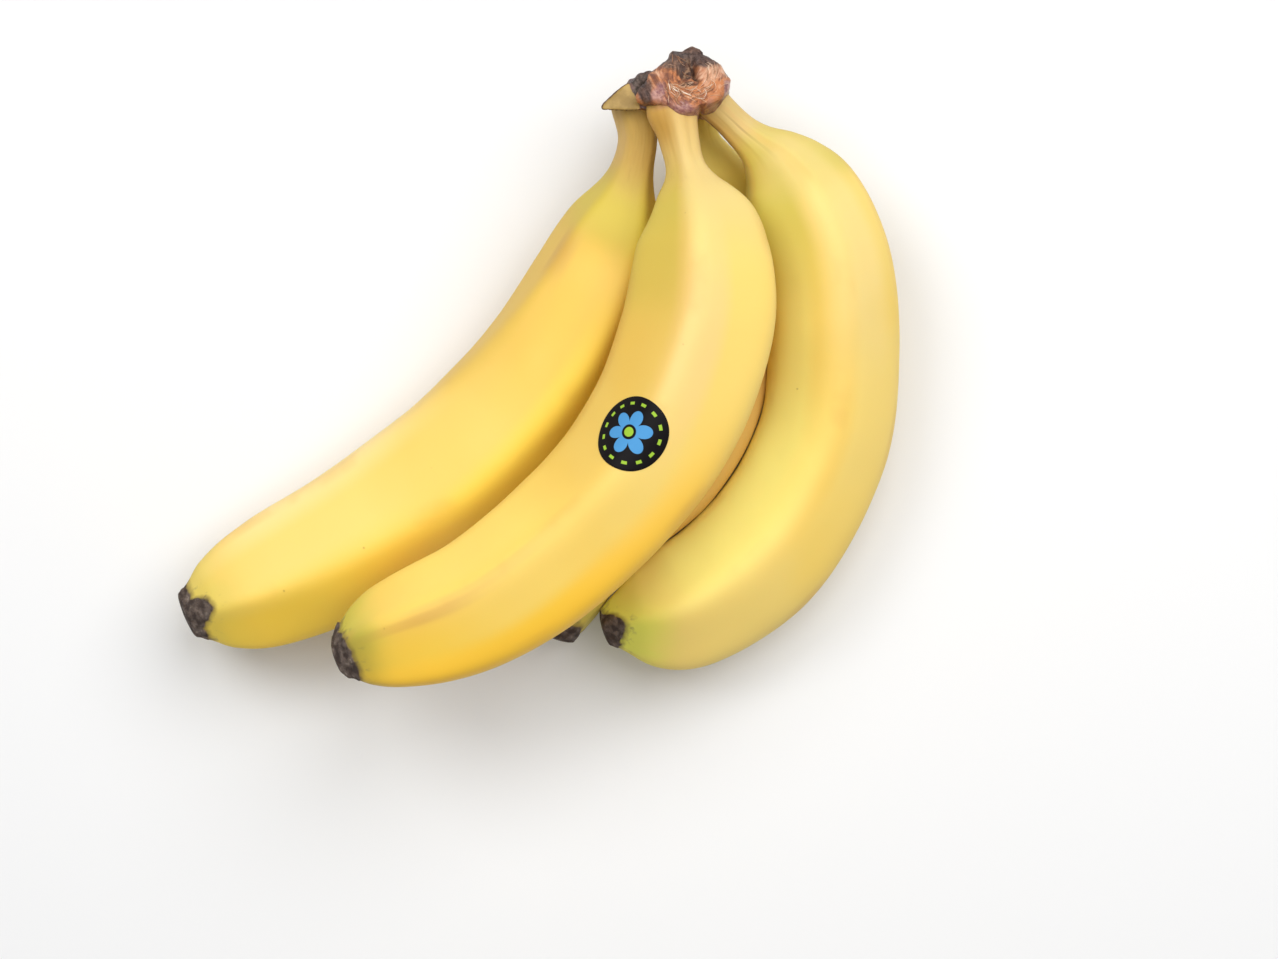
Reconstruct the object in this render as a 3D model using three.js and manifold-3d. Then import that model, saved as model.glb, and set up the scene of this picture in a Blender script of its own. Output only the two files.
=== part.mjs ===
// A bunch of four bananas, cut from its stem and lying on its side.
// Units are millimetres. +Z is up, the table is z = 0, and the origin is under the middle of the bunch.
// The stalks meet in the crown at +Y, and the blossom ends point to -X.

import * as THREE from "three";
import { mergeVertices } from "three/addons/utils/BufferGeometryUtils.js";
import Module from "manifold-3d";

const wasm = await Module();
wasm.setup();

// ---------------------------------------------------------------- driving dimensions

const GAP = 0.3; // clearance between pieces that touch
const SIDES = 20; // facets round a banana
const RINGS = 34; // rings along a banana
const RIDGES = 5; // a banana's section has five soft corners
const RIDGE_SHARPNESS = 10; // higher is closer to a true pentagon
const MEAN_REACH = 1.05; // mean radius of that section, when its flats are one unit out
const SKIN_ROUGHNESS = 0.5;

// Each centreline runs from the stalk's cut end to the blossom end.
// Each girth is a list of [distance along the centreline, radius].
// The first ridge lies at the angle `ridge`, in degrees from the inner curve, and turns by `twist` to the tip.
const BANANAS = [
  {
    name: "banana_left",
    colour: 0xe8c552,
    centreline: [
      [24.5, 68.5, 42],
      [26.1, 56, 39.5],
      [19.2, 34.5, 33.5],
      [4.2, 4, 26],
      [-19.3, -22.7, 20.8],
      [-45.2, -42, 19.5],
      [-69.4, -55.2, 20.5],
      [-92.3, -65.2, 25],
    ],
    girth: [
      [0, 5.2],
      [12, 4.7],
      [22, 6.5],
      [34, 11.5],
      [48, 14.4],
      [69, 17],
      [92, 18.4],
      [115, 19],
      [138, 18.5],
      [159, 17],
      [175, 14.4],
      [184, 11],
      [189, 7.4],
      [192, 5.6],
    ],
    ridge: 63,
    twist: -40,
  },
  {
    name: "banana_middle",
    colour: 0xf0cf68,
    centreline: [
      [34.9, 67, 49.2],
      [36.6, 57.5, 50.5],
      [39.5, 45, 52],
      [42.5, 30.5, 53],
      [41.5, 8.5, 53.5],
      [31.5, -17.5, 53],
      [13.2, -40.7, 51.5],
      [-13.8, -61.6, 49.5],
      [-50.3, -74.7, 48],
    ],
    girth: [
      [0, 5.8],
      [10, 4.8],
      [18, 4.9],
      [25, 9],
      [32, 13],
      [40, 15.4],
      [50, 16.8],
      [66, 17.7],
      [87, 17.8],
      [116, 17],
      [140, 16.7],
      [161, 15.2],
      [176, 12.8],
      [184, 10],
      [189, 6.6],
      [191, 5],
    ],
    ridge: 90,
    twist: -24,
  },
  {
    name: "banana_right",
    colour: 0xedc95c,
    centreline: [
      [42, 71, 38.5],
      [52, 61.5, 38],
      [63.5, 50.5, 35.5],
      [74.2, 30, 31],
      [77.2, 5, 23],
      [74.4, -20, 18.3],
      [61, -45.3, 17],
      [40.2, -62.3, 16.3],
      [17.5, -68.4, 17],
    ],
    girth: [
      [0, 4.8],
      [11, 4.1],
      [19, 5.2],
      [25, 8.4],
      [31, 11.7],
      [38, 13.9],
      [50, 15],
      [70, 16.2],
      [92, 16.5],
      [120, 17],
      [144, 17.2],
      [163, 15.6],
      [174, 12.2],
      [181, 7.4],
      [185, 4.6],
    ],
    ridge: 106,
    twist: -20,
  },
  {
    name: "banana_back",
    colour: 0xcdb24c,
    centreline: [
      [41, 70.5, 28],
      [42.6, 59.5, 23],
      [45.5, 42, 16.6],
      [46, 19, 15.5],
      [44.4, -4.6, 15.3],
      [34.2, -24.9, 15.3],
      [19.4, -40.8, 14.6],
      [9.6, -55.6, 13.8],
      [4.4, -71, 14.5],
    ],
    girth: [
      [0, 4.6],
      [9, 4.4],
      [14, 6.6],
      [20, 9.6],
      [30, 10.8],
      [45, 12.7],
      [62, 13.9],
      [87, 14.5],
      [103, 13.9],
      [118, 12.8],
      [130, 11.6],
      [139, 10.4],
      [147, 8.8],
      [153, 6.4],
      [157, 4.4],
    ],
    ridge: 86,
    twist: -20,
  },
];

// The crown is a rough block, cut aslant, with a pointed flap of skin left on one end.
// Each face is [direction, distance from the centre].
const CROWN_BLOCK = {
  centre: [36.5, 71.5, 39],
  sharpness: 10,
  faces: [
    [[0.1, 0.62, 0.78], 12],
    [[-0.7, 0.7, 0.1], 7.8],
    [[-1, 0, 0], 11.5],
    [[0.8, 0.6, 0], 11.2],
    [[1, 0, 0], 14.5],
    [[0.57, -0.82, 0], 9.2],
    [[0, -1, 0.1], 7.4],
    [[0, 1, -0.2], 9.6],
    [[0, 0, -1], 19],
    [[-0.1, 0, 1], 18.5],
  ],
};
const CROWN_FLAP = {
  centre: [25, 69, 42.5],
  sharpness: 8,
  faces: [
    [[0, -1, 0], 3.8],
    [[-0.5, 0.86, 0.1], 4.6],
    [[-1, 0, 0], 7.6],
    [[1, 0, 0], 9],
    [[0, 1, 0], 7],
    [[0, 0, 1], 8.5],
    [[0, 0, -1], 9],
  ],
};
const CROWN_DETAIL = 5; // splits of each face of the starting icosahedron
const CROWN_COLOUR = 0x6b4a3a;
const CROWN_ROUGHNESS = 0.8;

// The label is a round paper disc that follows the skin of the middle banana.
const LABEL = {
  on: "banana_middle",
  distance: 91, // along that banana's centreline
  angle: 70, // round it, in degrees from the inner curve
  radius: 9.9,
  thickness: 0.25,
  rings: 4,
  sides: 32,
  colour: 0x1a1416,
  roughness: 0.35,
};

const MERGE_TOLERANCE = 1e-4; // vertices nearer than this are one
const CURVE_STEPS = 800; // for measuring distances along a centreline

// ---------------------------------------------------------------- solids

// Joins shared vertices and drops the empty triangles at the poles.
function closedGeometry(geometry) {
  const bare = geometry.clone();
  bare.deleteAttribute("normal");
  bare.deleteAttribute("uv");
  const merged = mergeVertices(bare, MERGE_TOLERANCE);
  const kept = [];
  for (let i = 0; i < merged.index.count; i += 3) {
    const [a, b, c] = [0, 1, 2].map((k) => merged.index.getX(i + k));
    if (a !== b && b !== c && c !== a) kept.push(a, b, c);
  }
  merged.setIndex(kept);
  return merged;
}

function toSolid(geometry) {
  const closed = closedGeometry(geometry);
  const vertProperties = new Float32Array(closed.attributes.position.array);
  const triVerts = new Uint32Array(closed.index.array);
  return new wasm.Manifold(new wasm.Mesh({ numProp: 3, vertProperties, triVerts }));
}

function toGeometry(solid) {
  const mesh = solid.getMesh();
  const geometry = new THREE.BufferGeometry();
  geometry.setAttribute("position", new THREE.BufferAttribute(mesh.vertProperties, 3));
  geometry.setIndex(new THREE.BufferAttribute(mesh.triVerts, 1));
  geometry.computeVertexNormals();
  return geometry;
}

function movedGeometry(geometry, place) {
  const position = geometry.attributes.position;
  const vertex = new THREE.Vector3();
  for (let i = 0; i < position.count; i += 1) {
    place(vertex.fromBufferAttribute(position, i));
    position.setXYZ(i, vertex.x, vertex.y, vertex.z);
  }
  return geometry;
}

// ---------------------------------------------------------------- bananas

// The distance from the centreline to a soft five-sided outline whose facets are one unit out.
function fiveSided(angle, ridge) {
  const step = (2 * Math.PI) / RIDGES;
  let sum = 0;
  for (let k = 0; k < RIDGES; k += 1) {
    const facet = ridge + (k + 0.5) * step;
    sum += Math.max(0, Math.cos(angle - facet)) ** RIDGE_SHARPNESS;
  }
  return sum ** (-1 / RIDGE_SHARPNESS);
}

function centrelineOf(banana) {
  const points = banana.centreline.map((point) => new THREE.Vector3(...point));
  const curve = new THREE.CatmullRomCurve3(points, false, "catmullrom", 0.5);
  curve.arcLengthDivisions = CURVE_STEPS;
  return curve;
}

// Across the centreline at a share of its length.
// `inner` points to the inside of the bend, and `up` away from the table.
function crossSection(curve, share) {
  const centre = curve.getPointAt(share);
  const along = curve.getTangentAt(share);
  const inner = new THREE.Vector3().crossVectors(along, new THREE.Vector3(0, 0, 1)).normalize();
  const up = new THREE.Vector3().crossVectors(inner, along);
  return { centre, along, inner, up };
}

// The point of the skin at a share of the length and an angle, for a round section of that radius.
function skinPoint(banana, curve, share, angle, radius) {
  const { centre, inner, up } = crossSection(curve, share);
  const ridge = THREE.MathUtils.degToRad(banana.ridge + banana.twist * share);
  const reach = radius * fiveSided(angle, ridge);
  centre.addScaledVector(inner, reach * Math.cos(angle));
  return centre.addScaledVector(up, reach * Math.sin(angle));
}

// A lathe-turned blank of the girth, bent along the centreline. `clearance` grows it for cutting a socket.
function bananaGeometry(banana, clearance = 0) {
  const curve = centrelineOf(banana);
  const knots = banana.girth.map(([distance, radius]) => new THREE.Vector2(radius, distance));
  const girth = new THREE.SplineCurve(knots);
  const outline = girth.getSpacedPoints(RINGS);
  const length = outline[RINGS].y;
  const blank = new THREE.LatheGeometry(
    [new THREE.Vector2(0, 0), ...outline, new THREE.Vector2(0, length)],
    SIDES,
  );
  return movedGeometry(blank, (vertex) => {
    const share = THREE.MathUtils.clamp(vertex.y / length, 0, 1);
    const radius = Math.hypot(vertex.x, vertex.z);
    const angle = Math.atan2(vertex.z, vertex.x);
    const grown = radius > 0 ? radius + clearance : 0;
    vertex.copy(skinPoint(banana, curve, share, angle, grown));
    if (share === 0) vertex.addScaledVector(curve.getTangentAt(0), -clearance);
  });
}

// What lies under the table top is cut away, which leaves a small flat where a banana rests.
function tableBlock() {
  const size = 400;
  const depth = 20;
  return toSolid(new THREE.BoxGeometry(size, size, depth).translate(0, 0, -depth / 2));
}

function bananaSolid(banana) {
  return toSolid(bananaGeometry(banana)).subtract(tableBlock());
}

// ---------------------------------------------------------------- crown

// A lump bounded by flat faces that run softly into each other.
function roundedBlock({ centre, sharpness, faces }) {
  const planes = faces.map(([direction, distance]) => ({
    normal: new THREE.Vector3(...direction).normalize(),
    distance,
  }));
  const ball = new THREE.IcosahedronGeometry(1, CROWN_DETAIL);
  return movedGeometry(ball, (vertex) => {
    const direction = vertex.clone().normalize();
    let sum = 0;
    for (const { normal, distance } of planes) {
      sum += (Math.max(0, direction.dot(normal)) / distance) ** sharpness;
    }
    vertex.copy(direction).multiplyScalar(sum ** (-1 / sharpness));
    vertex.add(new THREE.Vector3(...centre));
  });
}

function crownSolid() {
  let crown = toSolid(roundedBlock(CROWN_BLOCK)).add(toSolid(roundedBlock(CROWN_FLAP)));
  for (const banana of BANANAS) {
    crown = crown.subtract(toSolid(bananaGeometry(banana, GAP)));
  }
  return crown;
}

// ---------------------------------------------------------------- label

// The radius of a banana's girth at a distance along it, between the listed ones.
function girthAt(banana, distance) {
  const after = banana.girth.findIndex(([listed]) => listed >= distance);
  const [from, small] = banana.girth[after - 1];
  const [to, large] = banana.girth[after];
  return THREE.MathUtils.mapLinear(distance, from, to, small, large);
}

function labelGeometry() {
  const banana = BANANAS.find(({ name }) => name === LABEL.on);
  const curve = centrelineOf(banana);
  const length = curve.getLength();
  const rings = Array.from({ length: LABEL.rings + 1 }, (_, k) => (LABEL.radius * k) / LABEL.rings);
  const under = rings.map((radius) => new THREE.Vector2(radius, 0));
  const over = rings.toReversed().map((radius) => new THREE.Vector2(radius, LABEL.thickness));
  const disc = new THREE.LatheGeometry([...under, ...over], LABEL.sides);
  const middle = THREE.MathUtils.degToRad(LABEL.angle);
  return movedGeometry(disc, (vertex) => {
    const distance = LABEL.distance + vertex.x;
    const girth = girthAt(banana, distance);
    const angle = middle - vertex.z / (girth * MEAN_REACH);
    vertex.copy(skinPoint(banana, curve, distance / length, angle, girth + GAP + vertex.y));
  });
}

// ---------------------------------------------------------------- bunch

function addPiece(group, name, geometry, colour, roughness) {
  const material = new THREE.MeshStandardMaterial({ color: colour, roughness, metalness: 0 });
  const mesh = new THREE.Mesh(geometry, material);
  mesh.name = name;
  group.add(mesh);
}

const bunch = new THREE.Group();
for (const banana of BANANAS) {
  addPiece(bunch, banana.name, toGeometry(bananaSolid(banana)), banana.colour, SKIN_ROUGHNESS);
}
addPiece(bunch, "crown", toGeometry(crownSolid()), CROWN_COLOUR, CROWN_ROUGHNESS);
addPiece(bunch, "sticker", closedGeometry(labelGeometry()), LABEL.colour, LABEL.roughness);

export default bunch;
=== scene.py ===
"""The looks of a bunch of bananas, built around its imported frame.

Lengths are in metres unless a name ends in _MM, and angles in the tables are in degrees.
"""

import math
import random
from bisect import bisect_right

import bmesh
import bpy
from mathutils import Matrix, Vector, noise
from mathutils.bvhtree import BVHTree


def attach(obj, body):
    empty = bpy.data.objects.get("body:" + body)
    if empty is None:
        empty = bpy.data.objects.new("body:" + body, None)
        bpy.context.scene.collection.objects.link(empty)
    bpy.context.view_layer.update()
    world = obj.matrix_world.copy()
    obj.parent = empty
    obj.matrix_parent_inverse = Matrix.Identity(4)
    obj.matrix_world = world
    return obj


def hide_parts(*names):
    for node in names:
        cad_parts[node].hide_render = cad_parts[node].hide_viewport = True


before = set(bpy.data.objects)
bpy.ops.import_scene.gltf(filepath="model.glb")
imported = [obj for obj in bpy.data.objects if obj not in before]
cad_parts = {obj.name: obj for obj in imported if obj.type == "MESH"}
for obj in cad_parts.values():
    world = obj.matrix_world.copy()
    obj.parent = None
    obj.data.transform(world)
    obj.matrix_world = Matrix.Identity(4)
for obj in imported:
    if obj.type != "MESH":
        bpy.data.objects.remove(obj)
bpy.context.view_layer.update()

MM = 0.001
FIFTH_TURN = 2 * math.pi / 5
MERGE_DISTANCE = 1e-7

# -------- the bananas' shapes, in millimetres

# Each centreline runs from the stalk's cut end to the blossom end, and each girth lists (distance, radius).
# Angles round a banana are 0 on its inner curve and 90 on top.
# `ridge` is the angle of the first ridge, and `twist` is how far the ridges turn by the tip.
# `flats` are the five flats' relative distances from the centreline, and `crispness` sharpens the ridges.
# `seed` shifts the noise, so that no two bananas have the same dents and marks.
# `cap` is the dark blossom end: its depth, the angle where it reaches further, by how much, and that
# part's spread.
# `swells` are bumps and hollows: how far along, at what angle, how far they spread each way, and the height.
BANANAS = {
    "banana_left": {
        "centreline": [
            (24.5, 68.5, 42), (26.1, 56, 39.5), (19.2, 34.5, 33.5), (4.2, 4, 26),
            (-19.3, -22.7, 20.8), (-45.2, -42, 19.5), (-69.4, -55.2, 20.5), (-92.3, -65.2, 25),
        ],
        "girth": [
            (0, 5.2), (12, 4.7), (22, 6.5), (34, 11.5), (48, 14.4), (69, 17), (92, 18.4),
            (115, 19), (138, 18.5), (159, 17), (175, 14.4), (184, 11), (189, 7.4), (192, 5.6),
        ],
        "seed": 3, "ridge": 63, "twist": -40, "crispness": 1.0,
        "flats": (1.0, 1.02, 0.98, 1.0, 1.0),
        "cap": (1.4, 92, 3.5, 28),
        "swells": [(11, 10, (8, 60), 0.5), (19, 180, (7, 50), -0.8)],
    },
    "banana_middle": {
        "centreline": [
            (34.9, 67, 49.2), (36.6, 57.5, 50.5), (39.5, 45, 52), (42.5, 30.5, 53),
            (41.5, 8.5, 53.5), (31.5, -17.5, 53), (13.2, -40.7, 51.5), (-13.8, -61.6, 49.5),
            (-50.3, -74.7, 48),
        ],
        "girth": [
            (0, 5.8), (10, 4.8), (18, 4.9), (25, 9), (32, 13), (40, 15.4), (50, 16.8), (66, 17.7),
            (87, 17.8), (116, 17), (140, 16.7), (161, 15.2), (176, 12.8), (184, 10), (189, 6.6),
            (191, 5),
        ],
        "seed": 11, "ridge": 90, "twist": -24, "crispness": 1.0,
        "flats": (1.0, 1.0, 1.0, 1.02, 0.99),
        "cap": (1.7, 100, 2.8, 50),
        "swells": [(3.5, 25, (3.5, 45), 1.3)],
    },
    "banana_right": {
        "centreline": [
            (42, 71, 38.5), (52, 61.5, 38), (63.5, 50.5, 35.5), (74.2, 30, 31), (77.2, 5, 23),
            (74.4, -20, 18.3), (61, -45.3, 17), (40.2, -62.3, 16.3), (17.5, -68.4, 17),
        ],
        "girth": [
            (0, 4.8), (11, 4.1), (19, 5.2), (25, 8.4), (31, 11.7), (38, 13.9), (50, 15),
            (70, 16.2), (92, 16.5), (120, 17), (144, 17.2), (163, 15.6), (174, 12.2), (181, 7.4),
            (185, 4.6),
        ],
        "seed": 23, "ridge": 106, "twist": -20, "crispness": 0.8,
        "flats": (1.0, 1.0, 1.01, 1.0, 1.0),
        "cap": (-2.2, 108, 6.2, 58),
        "swells": [],
    },
    "banana_back": {
        "centreline": [
            (41, 70.5, 28), (42.6, 59.5, 23), (45.5, 42, 16.6), (46, 19, 15.5), (44.4, -4.6, 15.3),
            (34.2, -24.9, 15.3), (19.4, -40.8, 14.6), (9.6, -55.6, 13.8), (4.4, -71, 14.5),
        ],
        "girth": [
            (0, 4.6), (9, 4.4), (14, 6.6), (20, 9.6), (30, 10.8), (45, 12.7), (62, 13.9),
            (87, 14.5), (103, 13.9), (118, 12.8), (130, 11.6), (139, 10.4), (147, 8.8), (153, 6.4),
            (157, 4.4),
        ],
        "seed": 31, "ridge": 86, "twist": -20, "crispness": 1.0,
        "flats": (1.0, 1.0, 1.0, 1.0, 1.0),
        "cap": (1.8, 90, 1.6, 60),
        "swells": [(22, 180, (9, 55), 1.0), (92, 146, (34, 26), 1.72)],
    },
}

BODY_STEP_MM = 0.75
TIP_STEP_MM = 0.3
TIP_ZONE_MM = 14
SIDES = 128
CAP_RINGS = 10
CAP_BULGE_MM = 1.2
SPINE_STEPS = 60
NEARLY_ALL = 0.9999

# The ridges' sharpness at the stalk, and between which shares of the length it changes, and by how much.
RIDGE_SHARPNESS = 6
RIDGE_CHANGES = [((0.10, 0.18), 4), ((0.22, 0.45), -3), ((0.8, 0.95), 4)]

# Layers of noise, each with its scale and its height in millimetres. The rim's waves and the stalk's streaks
# are read round a circle, whose radius says how many there are, and the streaks move on along the stalk.
RIM_WAVES = [(1, 0.7), (3, 0.6)]
RIM_CIRCLE = 1.6
STALK_STREAKS = [(1, 0.22), (3.1, 0.08)]
STREAK_CIRCLE = 2.2
STREAK_PACE = 22
DENTS = [(45, 0.32), (110, 0.10)]
CAP_LUMPS = [(300, 0.9), (800, 0.3)]

# How much further the dark end reaches on a ridge, where the stalk's streaks end, where the dark end's lumps
# begin and how proud it stands, and the radius under which all relief fades out.
RIM_ON_RIDGES_MM = 0.8
STALK_ENDS_MM = (14, 34)
CAP_STARTS_MM = (-0.3, 0.4)
CAP_RISE_MM = 0.25
SLENDER_MM = 3

# -------- the crown's shape, in millimetres

# A rounded block reaches as far as its `faces` say, each a direction and a distance from the centre. The
# flap is a pointed piece of peel left standing beside the torn block.
CROWN_BLOCK = {
    "centre": (36.5, 71.5, 39),
    "sharpness": 10,
    "faces": [
        ((0.1, 0.62, 0.78), 12), ((-0.7, 0.7, 0.1), 7.8), ((-1, 0, 0), 11.5), ((0.8, 0.6, 0), 11.2),
        ((1, 0, 0), 14.5), ((0.57, -0.82, 0), 9.2), ((0, -1, 0.1), 7.4), ((0, 1, -0.2), 9.6),
        ((0, 0, -1), 19), ((-0.1, 0, 1), 18.5),
    ],
}
CROWN_FLAP = {
    "centre": (25, 69, 42.5),
    "sharpness": 12,
    "faces": [
        ((0, -1, -0.3), 1.75), ((-0.62, 0.78, 0.1), 3.9), ((-1, 0, 0), 8.4), ((1, 0, 0), 9),
        ((0, 1, 0), 5.2), ((0, 0, 1), 8.5), ((0, 0, -1), 9),
    ],
}
CROWN_FINENESS = 7
FLAP_FINENESS = 6
# The flap turns dark along a line: its place across at the lower edge, its slant, how wide the change is
# and how ragged. The flap's waves have a scale, a height and what the dark end adds to that.
FLAP_BASE_MM = 66.5
FLAP_JOIN_MM = 26.2
FLAP_JOIN_SLANT = 0.42
FLAP_JOIN_WIDTH_MM = (-0.9, 0.7)
FLAP_JOIN_RAGGED = (300, 0.8)
FLAP_WAVES = [(160, 0.4, 0.8), (500, 0.12, 0.5)]
# The flap's rim lies where its skin turns down from level, and stands a little proud.
FLAP_RIM_SLOPES = (0.80, 0.42)
FLAP_RIM_RISE_MM = 0.25

# Noise on the torn crown, as above. Its lip and its smooth side lose a share of that height, and the
# whole is set back to keep its size.
CROWN_LUMPS = [(190, 0.7), (520, 0.3)]
CROWN_SHREDS = [(0.8, 0.9), (2.2, 0.3)]
CALM_LUMPS = 0.4
CALM_SHREDS = 0.7
CROWN_SETBACK_MM = 0.35
# How far the skin leans up, for the shreds and the bumps, from none to all, and for the rind, the other way.
SHREDS_SLOPES = (-0.1, 0.45)
BUMPS_SLOPES = (-0.7, 0.1)
RIND_SLOPES = (-0.05, 0.25)

# Bumps and hollows on the crown: place across and up, spread across and up, turn in degrees, and height.
CROWN_FEATURES = [
    ((34.7, 79.6), (0.9, 1.4), 20, 0.5), ((39.9, 80.4), (0.9, 1.4), 0, 0.45),
    ((42.8, 80.0), (1.6, 1.6), -30, -0.35), ((37.2, 80.4), (1.1, 1.5), 0, -0.35),
    ((43.6, 80.2), (3.0, 1.4), -38, -0.5), ((40.3, 75.4), (0.75, 3.0), 10, -3.4),
    ((37.4, 74.6), (1.6, 2.4), 12, -1.4), ((45.0, 72.4), (3.4, 4.6), 16, 1.5),
    ((32.4, 72.0), (2.4, 3.6), 30, 0.8), ((35.2, 77.0), (1.0, 2.8), -12, 0.9),
    ((37.2, 65.6), (5.0, 1.8), -10, 1.2), ((44.6, 66.2), (2.8, 1.3), 38, 1.0),
    ((42.0, 65.6), (0.6, 2.6), 10, -1.0), ((29.4, 73.4), (1.2, 3.0), 30, 0.7),
    ((46.2, 77.0), (2.6, 1.4), -42, 0.6),
]
# The lip hangs down over the middle banana's stalk: its middle across, its spread, how far it drops, and
# how far up the crown and how deep it starts.
LIP_MIDDLE_MM = 38.6
LIP_SPREAD_MM = 4.6
LIP_DROP_MM = 2.1
LIP_STARTS_UP_MM = (70, 65.5)
LIP_STARTS_DEEP_MM = (44, 50)
# Zones of the crown's cut side: place, spread and turn as above, and how strong. Their edges are ragged,
# by noise of a scale and a height.
CROWN_ZONES = {
    "char": [
        ((27.0, 70.4), (1.8, 6.0), 14, 0.9), ((28.6, 68.6), (1.5, 3.4), 0, 0.8),
        ((27.8, 67.6), (1.7, 1.5), 0, 0.9), ((28.6, 76.0), (2.4, 3.0), 40, 0.6),
        ((32.6, 79.0), (2.6, 2.6), 40, 0.7), ((37.6, 81.4), (3.6, 1.7), 0, 0.9),
        ((43.0, 78.8), (4.8, 3.0), -38, 1.0), ((37.4, 79.4), (3.0, 1.8), 0, 0.9),
        ((48.8, 74.4), (1.5, 3.2), -16, 0.6),
    ],
    "lip": [
        ((37.4, 64.6), (6.0, 2.9), -10, 1.0), ((31.6, 68.4), (2.4, 3.0), 0, 0.75),
        ((44.4, 65.2), (2.8, 1.2), 36, 1.0), ((44.7, 66.9), (2.0, 1.2), 35, 0.42),
        ((48.8, 69.6), (1.4, 2.8), -20, 0.9),
    ],
    # The crease zone is painted shade: it darkens the crease lines.
    "crease": [
        ((42.1, 65.4), (0.4, 2.8), 10, 1.0), ((44.4, 64.9), (2.6, 0.6), 38, 0.9),
        ((47.2, 67.6), (2.2, 0.7), 40, 0.8),
    ],
    # The hollow zone's dark colours are painted shade in the crown's hollow.
    "hollow": [
        ((38.6, 75.0), (2.0, 3.2), 10, 1.0), ((40.4, 75.0), (0.8, 3.4), 10, 1.0),
        ((38.6, 70.8), (2.8, 1.2), 10, 0.65),
    ],
    "grey": [
        ((34.8, 77.2), (2.8, 3.0), 20, 1.0), ((38.4, 78.6), (2.6, 2.2), 0, 0.8),
    ],
    "smooth": [
        ((44.4, 74.0), (3.4, 3.4), 16, 1.0), ((43.0, 72.0), (1.2, 3.4), 10, 0.8),
        ((31.4, 73.0), (1.5, 2.2), 25, 0.6),
    ],
}
ZONE_EDGE = (0.25, 0.6)
ZONE_RAGGED = (300, 1.1)
ELSEWHERE = Vector((9, 0, 0))
# The crown's grain runs round its hollow, and wanders by noise of a scale and a height.
GRAIN_CENTRE_MM = (40.0, 74.5)
GRAIN_WANDER = (260, 1.2)
GRAIN_CIRCLE = 1.5
GRAIN_DEPTH = 0.25

# Fibres lie on the cut side in bands round its hollow. A band has a count, a range of turns where they
# start, how far out and which way they head, each a mean and a deviation, and how thick and how pale.
FIBRE_BANDS = [
    (38, (200, 275), (6.2, 1.4), (90, 40), (0.05, 0.10), 0.8),
    (12, (205, 270), (6.5, 1.0), (90, 40), (0.12, 0.20), 1.0),
    (28, (-85, 5), (5.4, 1.5), (90, 20), (0.05, 0.10), 0.8),
    (8, (-75, 5), (5.3, 1.3), (90, 18), (0.10, 0.18), 1.0),
    (8, (110, 180), (5.6, 1.8), (165, 25), (0.04, 0.08), 0.35),
]
FIBRE_STEPS = 8
FIBRE_SIDES = 4
FIBRE_SEED = 7
FIBRE_LEAST_POINTS = 5
FIBRE_BEND = (0.22, 0.26)
FIBRE_STEP_MM = (0.25, 0.5)
FIBRE_RISE_MM = (0.0, 0.2)
FIBRE_CLEARANCE_MM = 0.05
FIBRE_STEEPEST = 0.3
FIBRE_TAPER = 0.04
ABOVE_THE_CROWN = 0.1

# The label on the middle banana: its place along it and round it, its size, and its half profile, from the
# middle of its face to the middle of its back.
LABEL_ON = "banana_middle"
LABEL_DISTANCE_MM = 91
LABEL_ANGLE = 70
LABEL_RADIUS_MM = 9.9
LABEL_PROFILE_MM = [
    (0, 0.26), (4, 0.26), (9.5, 0.26), (9.8, 0.22), (9.9, 0.12), (9.8, 0.04), (4, 0.04), (0, 0.04),
]
LABEL_MEAN_REACH = 1.05
LABEL_SIDES = 120
LABEL_RINGS_BETWEEN = 8


# -------- curves

def smooth_line(points, steps):
    """Points on the Catmull-Rom curve through the given ones, with `steps` to each stretch."""
    before = points[0] * 2 - points[1]
    after = points[-1] * 2 - points[-2]
    knots = [before, *points, after]
    line = []
    for a, b, c, d in zip(knots, knots[1:], knots[2:], knots[3:]):
        for step in range(steps):
            t = step / steps
            curve = (a * 2 - b * 5 + c * 4 - d) * (t * t / 2)
            bend = (b * 3 - a - c * 3 + d) * (t ** 3 / 2)
            line.append(b + (c - a) * (t / 2) + curve + bend)
    return line + [points[-1].copy()]


def running_lengths(line):
    """How far along a line each of its points is."""
    reached = [0.0]
    for here, there in zip(line, line[1:]):
        reached.append(reached[-1] + (there - here).length)
    return reached


class Spine:
    """A banana's centreline, with the directions across it at any distance along it."""

    def __init__(self, centreline):
        self.line = smooth_line([Vector(point) * MM for point in centreline], SPINE_STEPS)
        self.reached = running_lengths(self.line)
        self.length = self.reached[-1]

    def at(self, distance):
        """The point there, and the directions along, inner and up. Past its ends the line runs straight."""
        held = min(max(distance, 0.0), self.length * NEARLY_ALL)
        index = bisect_right(self.reached, held)
        here, there = self.line[index - 1], self.line[index]
        part = (held - self.reached[index - 1]) / (self.reached[index] - self.reached[index - 1])
        before = self.line[max(index - 2, 0)]
        after = self.line[min(index + 1, len(self.line) - 1)]
        along = ((there - before).lerp(after - here, part)).normalized()
        inner = along.cross(Vector((0, 0, 1))).normalized()
        up = inner.cross(along)
        centre = here.lerp(there, part) + along * (distance - held)
        return centre, along, inner, up


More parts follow.
